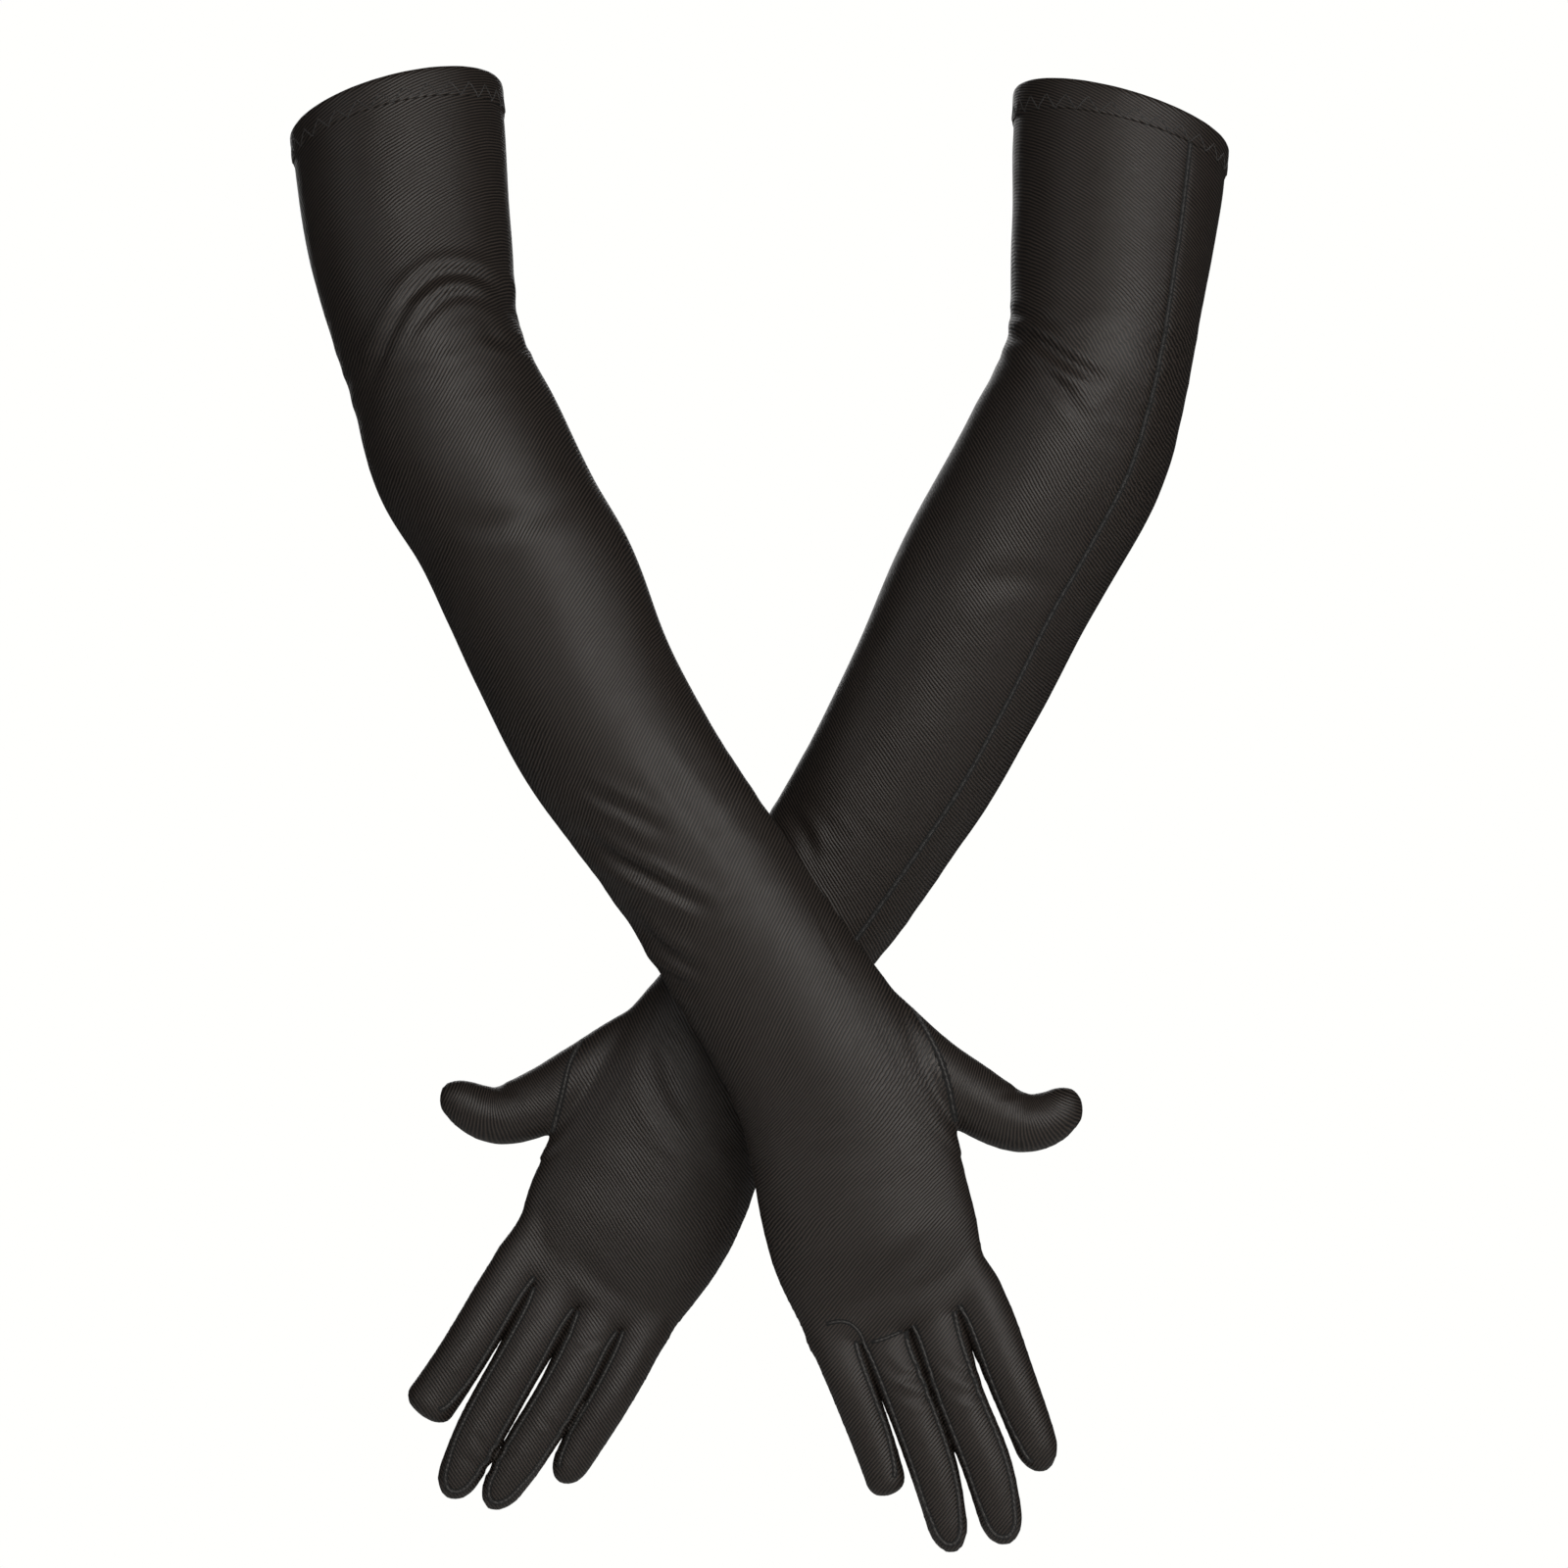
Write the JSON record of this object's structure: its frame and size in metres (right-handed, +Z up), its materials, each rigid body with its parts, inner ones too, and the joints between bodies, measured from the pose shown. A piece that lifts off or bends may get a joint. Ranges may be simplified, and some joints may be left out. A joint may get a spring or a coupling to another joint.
{
  "type": "opera gloves",
  "caption": "Pair of long fitted opera gloves in black stretch satin, shaped as worn on crossed arms, with fingers and thumbs that bend towards the palms.",
  "frame": {"origin": "centre of the right glove's cuff opening, in the plane of its rim", "axes": "+Z up the arms, from the fingertips to the cuffs; +Y from the backs of the hands to the palms; +X from the wearer's right arm to the left one, so the right glove's cuff is at X 0 and the left one's at X 0.26"},
  "size_m": [0.3356, 0.1039, 0.5305],
  "materials": {
    "satin": "black ribbed stretch satin, soft sheen",
    "lining": "matt reverse side of the satin",
    "thread": "black sewing thread",
    "elastic": "black woven elastic"
  },
  "bodies": {
    "right_glove": {"right_upper_sleeve": "satin", "right_forearm_sleeve": "satin", "right_side_seam_thread": "thread", "right_hem_elastic": "elastic", "right_hem_facing": "lining", "right_palm": "satin"},
    "right_index": {"right_index_finger": "satin", "right_index_outer_strip": "satin"},
    "right_middle": {"right_middle_back": "satin", "right_middle_palm_face": "satin", "right_middle_inner_strip": "satin", "right_middle_outer_strip": "satin"},
    "right_ring": {"right_ring_back": "satin", "right_ring_palm_face": "satin", "right_ring_inner_strip": "satin", "right_ring_outer_strip": "satin"},
    "right_little": {"right_little_back": "satin", "right_little_palm_face": "satin", "right_little_inner_strip": "satin"},
    "right_thumb": {"right_thumb": "satin"},
    "left_glove": {"left_upper_sleeve": "satin", "left_forearm_sleeve": "satin", "left_side_seam_thread": "thread", "left_hem_elastic": "elastic", "left_hem_facing": "lining", "left_palm": "satin"},
    "left_index": {"left_index_finger": "satin", "left_index_outer_strip": "satin"},
    "left_middle": {"left_middle_back": "satin", "left_middle_palm_face": "satin", "left_middle_inner_strip": "satin", "left_middle_outer_strip": "satin"},
    "left_ring": {"left_ring_back": "satin", "left_ring_palm_face": "satin", "left_ring_inner_strip": "satin", "left_ring_outer_strip": "satin"},
    "left_little": {"left_little_back": "satin", "left_little_palm_face": "satin", "left_little_inner_strip": "satin"},
    "left_thumb": {"left_thumb": "satin"}
  },
  "joints": [
    {"name": "right_index_bend", "type": "hinge", "parent": "right_glove", "child": "right_index", "pos_m": [0.20994, -0.03998, -0.42593], "axis": [0.9171, 0, 0.3986], "range_deg": [0, 60]},
    {"name": "right_middle_bend", "type": "hinge", "parent": "right_glove", "child": "right_middle", "pos_m": [0.19335, -0.04021, -0.43443], "axis": [0.9503, 0, 0.3114], "range_deg": [0, 60]},
    {"name": "right_ring_bend", "type": "hinge", "parent": "right_glove", "child": "right_ring", "pos_m": [0.17547, -0.04019, -0.44002], "axis": [0.9335, 0, 0.3586], "range_deg": [0, 60]},
    {"name": "right_little_bend", "type": "hinge", "parent": "right_glove", "child": "right_little", "pos_m": [0.15819, -0.04059, -0.44347], "axis": [0.9237, 0, 0.3831], "range_deg": [0, 60]},
    {"name": "right_thumb_bend", "type": "hinge", "parent": "right_glove", "child": "right_thumb", "pos_m": [0.1895, -0.04049, -0.337], "axis": [-0.4045, 0, 0.9145], "range_deg": [0, 45]},
    {"name": "left_index_bend", "type": "hinge", "parent": "left_glove", "child": "left_index", "pos_m": [0.04088, 0.006, -0.41664], "axis": [0.8632, 0, -0.5049], "range_deg": [0, 60]},
    {"name": "left_middle_bend", "type": "hinge", "parent": "left_glove", "child": "left_middle", "pos_m": [0.05474, 0.00577, -0.42835], "axis": [0.8961, 0, -0.4438], "range_deg": [0, 60]},
    {"name": "left_ring_bend", "type": "hinge", "parent": "left_glove", "child": "left_ring", "pos_m": [0.0706, 0.00591, -0.43671], "axis": [0.8823, 0, -0.4706], "range_deg": [0, 60]},
    {"name": "left_little_bend", "type": "hinge", "parent": "left_glove", "child": "left_little", "pos_m": [0.08627, 0.00603, -0.4438], "axis": [0.8749, 0, -0.4842], "range_deg": [0, 60]},
    {"name": "left_thumb_bend", "type": "hinge", "parent": "left_glove", "child": "left_thumb", "pos_m": [0.0665, 0.0065, -0.3415], "axis": [-0.4249, 0, -0.9052], "range_deg": [0, 45]},
    {"name": "left_glove_lift", "type": "slide", "parent": "right_glove", "child": "left_glove", "axis": [0, 1, 0], "range_m": [0, 0.12]}
  ]
}
